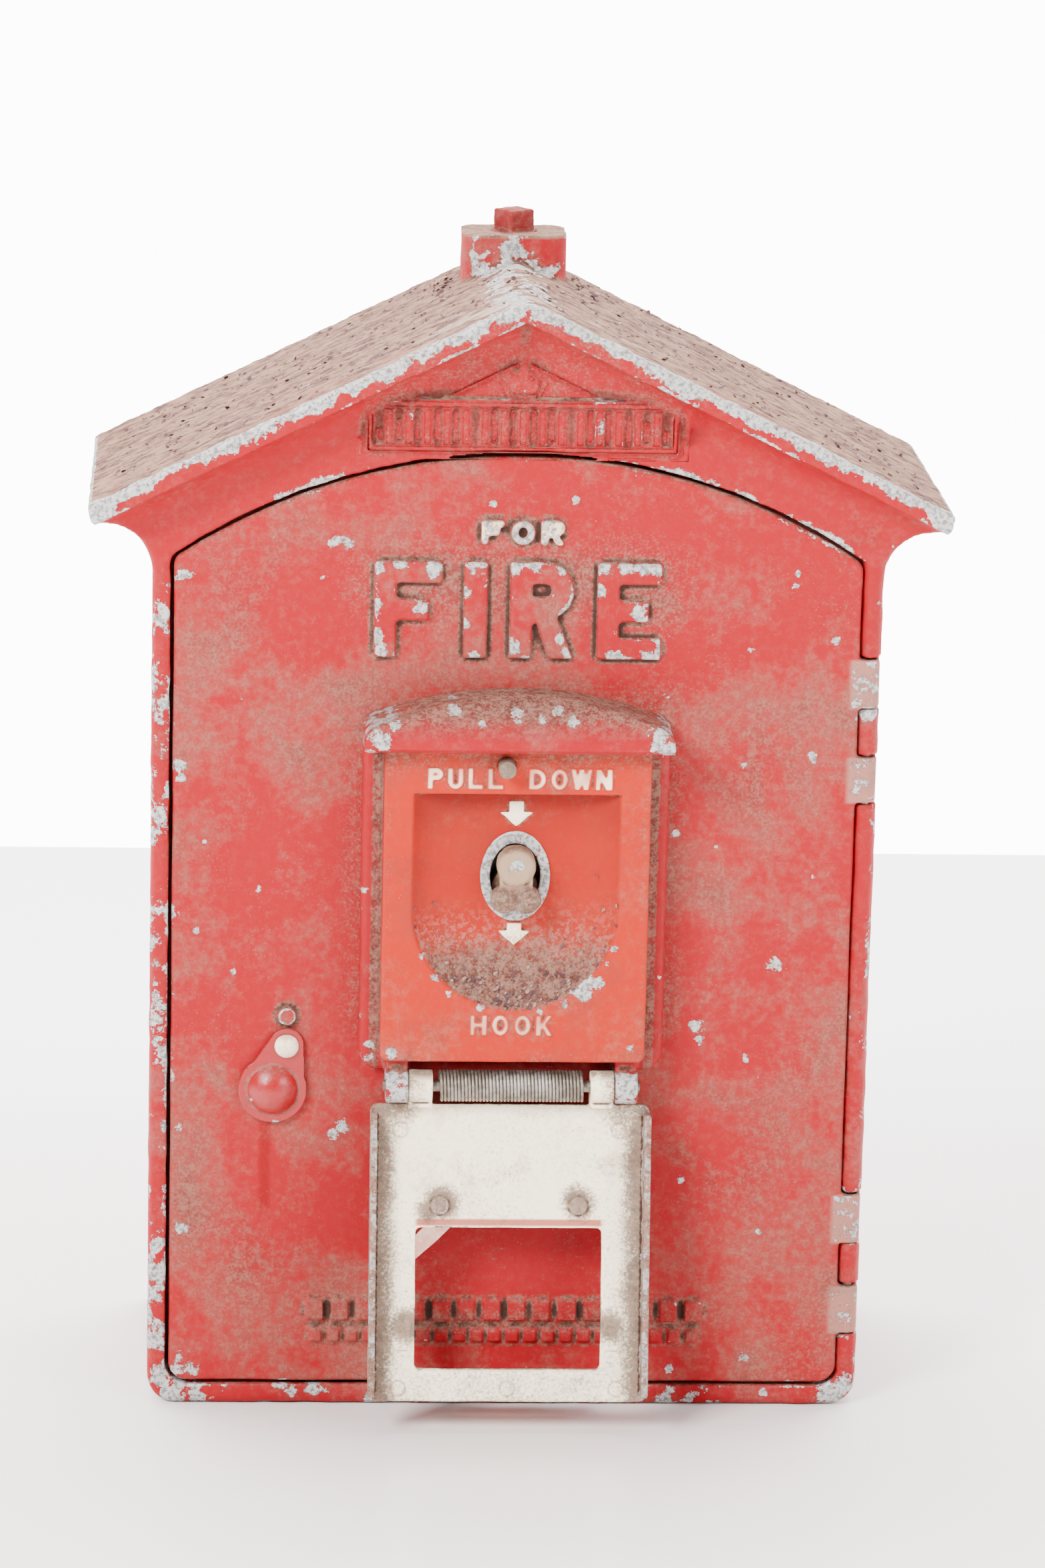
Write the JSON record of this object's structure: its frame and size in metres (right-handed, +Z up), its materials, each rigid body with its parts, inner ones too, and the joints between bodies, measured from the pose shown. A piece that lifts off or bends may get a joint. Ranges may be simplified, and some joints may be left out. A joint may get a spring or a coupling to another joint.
{
  "type": "street fire alarm call point",
  "caption": "Cast-metal street fire alarm box with gable roof, hinged door, pull-down cover over a pull hook, and clockwork that sends the call.",
  "frame": {"origin": "centre of the flat base, half way through the depth of the body", "axes": "+X to the right seen from the front, the front faces -Y, +Z up along the longest side"},
  "size_m": [0.3176, 0.1677, 0.4452],
  "materials": {
    "case_paint": "weathered red enamel over cast aluminium",
    "door_paint": "faded red enamel with chips",
    "housing_paint": "red enamel, chipped edges",
    "plate_paint": "orange-red enamel with cream letters",
    "cover_paint": "dusty cream inside, red outside",
    "keyhole_paint": "glossy red enamel",
    "hook_paint": "chalky off-white",
    "bare_aluminium": "bare, oxidised",
    "steel": "dull, lightly rusted",
    "brass": "lacquered",
    "insulator": "moulded insulation",
    "board": "insulating board",
    "coil": "silk-covered wire",
    "iron": "blackened",
    "pane_glass": "clear, broken edge"
  },
  "bodies": {
    "case": {"cottage_case": "case_paint", "conduit_plug": "case_paint", "hinge_pins": "steel", "base_board": "board", "board_screws": "steel", "plate_standoffs": "brass", "movement_back_plate": "brass", "movement_front_plate": "brass", "plate_pillars": "brass", "pillar_screws": "steel", "winding_arbor": "steel", "ratchet_wheel": "steel", "ratchet_click": "steel", "start_lever_bracket": "brass", "start_lever_pin": "steel", "contact_block": "insulator", "contact_blades": "brass", "telegraph_key_base": "insulator", "telegraph_key_pin": "steel", "telegraph_key_spring": "steel", "gong_post": "brass", "signal_gong": "brass", "bell_coils": "coil", "coil_yoke": "iron", "hammer_bracket": "brass", "terminal_block": "insulator", "terminal_posts": "bare_aluminium", "arrester_plates": "brass"},
    "door": {"outer_door": "door_paint", "pull_station_housing": "housing_paint", "housing_screws": "steel", "instruction_plate": "plate_paint", "hook_escutcheon": "bare_aluminium", "cover_catch_stud": "steel", "cover_hinge_pin": "steel", "cover_spring": "steel", "hook_bracket": "steel", "bracket_screws": "steel", "hook_pivot_pin": "steel", "hook_spring": "steel", "keyhole_cover_rivet": "keyhole_paint", "lock_body": "brass", "lock_screws": "steel"},
    "cover": {"pull_cover": "cover_paint", "window_shard": "pane_glass"},
    "hook": {"pull_hook": "hook_paint"},
    "keyhole_flap": {"keyhole_cover": "keyhole_paint"},
    "lock_hub": {"lock_hub": "brass"},
    "lock_bolt": {"lock_bolt": "brass"},
    "great_wheel": {"main_wheel": "brass", "mainspring": "steel"},
    "code_wheel": {"code_wheel": "brass", "code_pinion": "steel"},
    "second_wheel": {"second_wheel": "brass", "second_pinion": "steel"},
    "governor": {"governor_fan": "brass", "governor_pinion": "steel"},
    "start_lever": {"start_lever": "steel"},
    "telegraph_key": {"telegraph_key_lever": "brass"},
    "bell_hammer": {"bell_hammer": "iron"}
  },
  "joints": [
    {"name": "door_hinge", "type": "hinge", "parent": "case", "child": "door", "pos_m": [0.131, -0.059, 0.16], "axis": [0, 0, 1], "range_deg": [0, 105]},
    {"name": "cover_hinge", "type": "hinge", "parent": "door", "child": "cover", "pos_m": [0, -0.0795, 0.132], "axis": [-1, 0, 0], "range_deg": [0, 170], "deforming": ["cover_spring"]},
    {"name": "hook_pull", "type": "hinge", "parent": "door", "child": "hook", "pos_m": [0, -0.012, 0.212], "axis": [1, 0, 0], "range_deg": [0, 10], "stiffness_Nm_per_rad": 0.6, "springref_deg": -8.59, "deforming": ["hook_spring"]},
    {"name": "keyhole_flap_swing", "type": "hinge", "parent": "door", "child": "keyhole_flap", "pos_m": [-0.0838, -0.064, 0.1429], "axis": [0, 1, 0], "range_deg": [-16, 73]},
    {"name": "lock_turn", "type": "hinge", "parent": "door", "child": "lock_hub", "pos_m": [-0.0889, -0.05, 0.1257], "axis": [0, 1, 0], "range_deg": [0, 90]},
    {"name": "bolt_slide", "type": "slide", "parent": "door", "child": "lock_bolt", "axis": [-1, 0, 0], "range_m": [0, 0.00706]},
    {"name": "great_wheel_turn", "type": "hinge", "parent": "case", "child": "great_wheel", "pos_m": [-0.024, 0.032, 0.165], "axis": [0, 1, 0], "range_deg": [0, 144]},
    {"name": "code_wheel_turn", "type": "hinge", "parent": "case", "child": "code_wheel", "pos_m": [-0.03837, 0.032, 0.20447], "axis": [0, 1, 0], "range_deg": [-361, 1]},
    {"name": "second_wheel_turn", "type": "hinge", "parent": "case", "child": "second_wheel", "pos_m": [0.00549, 0.032, 0.18565], "axis": [0, 1, 0], "range_deg": [-721, 1]},
    {"name": "governor_turn", "type": "hinge", "parent": "case", "child": "governor", "pos_m": [0.03147, 0.032, 0.20065], "axis": [0, 1, 0], "range_deg": [-1, 2881]},
    {"name": "start_lever_trip", "type": "hinge", "parent": "case", "child": "start_lever", "pos_m": [0, 0, 0.15], "axis": [-1, 0, 0], "range_deg": [0, 10.1]},
    {"name": "telegraph_key_press", "type": "hinge", "parent": "case", "child": "telegraph_key", "pos_m": [-0.05, 0.037, 0.082], "axis": [1, 0, 0], "range_deg": [0, 4], "stiffness_Nm_per_rad": 0.4, "springref_deg": -5.73, "deforming": ["telegraph_key_spring"]},
    {"name": "bell_hammer_strike", "type": "hinge", "parent": "case", "child": "bell_hammer", "pos_m": [0.006, 0.0275, 0.104], "axis": [1, 0, 0], "range_deg": [0, 2], "stiffness_Nm_per_rad": 0.3, "springref_deg": -5.73}
  ],
  "couplings": [
    {"joint": "lock_turn", "follows": "bolt_slide", "rad_per_m": 222},
    {"joint": "start_lever_trip", "follows": "hook_pull", "ratio": 1},
    {"joint": "code_wheel_turn", "follows": "great_wheel_turn", "ratio": -2.5},
    {"joint": "second_wheel_turn", "follows": "great_wheel_turn", "ratio": -5},
    {"joint": "governor_turn", "follows": "great_wheel_turn", "ratio": 20}
  ]
}
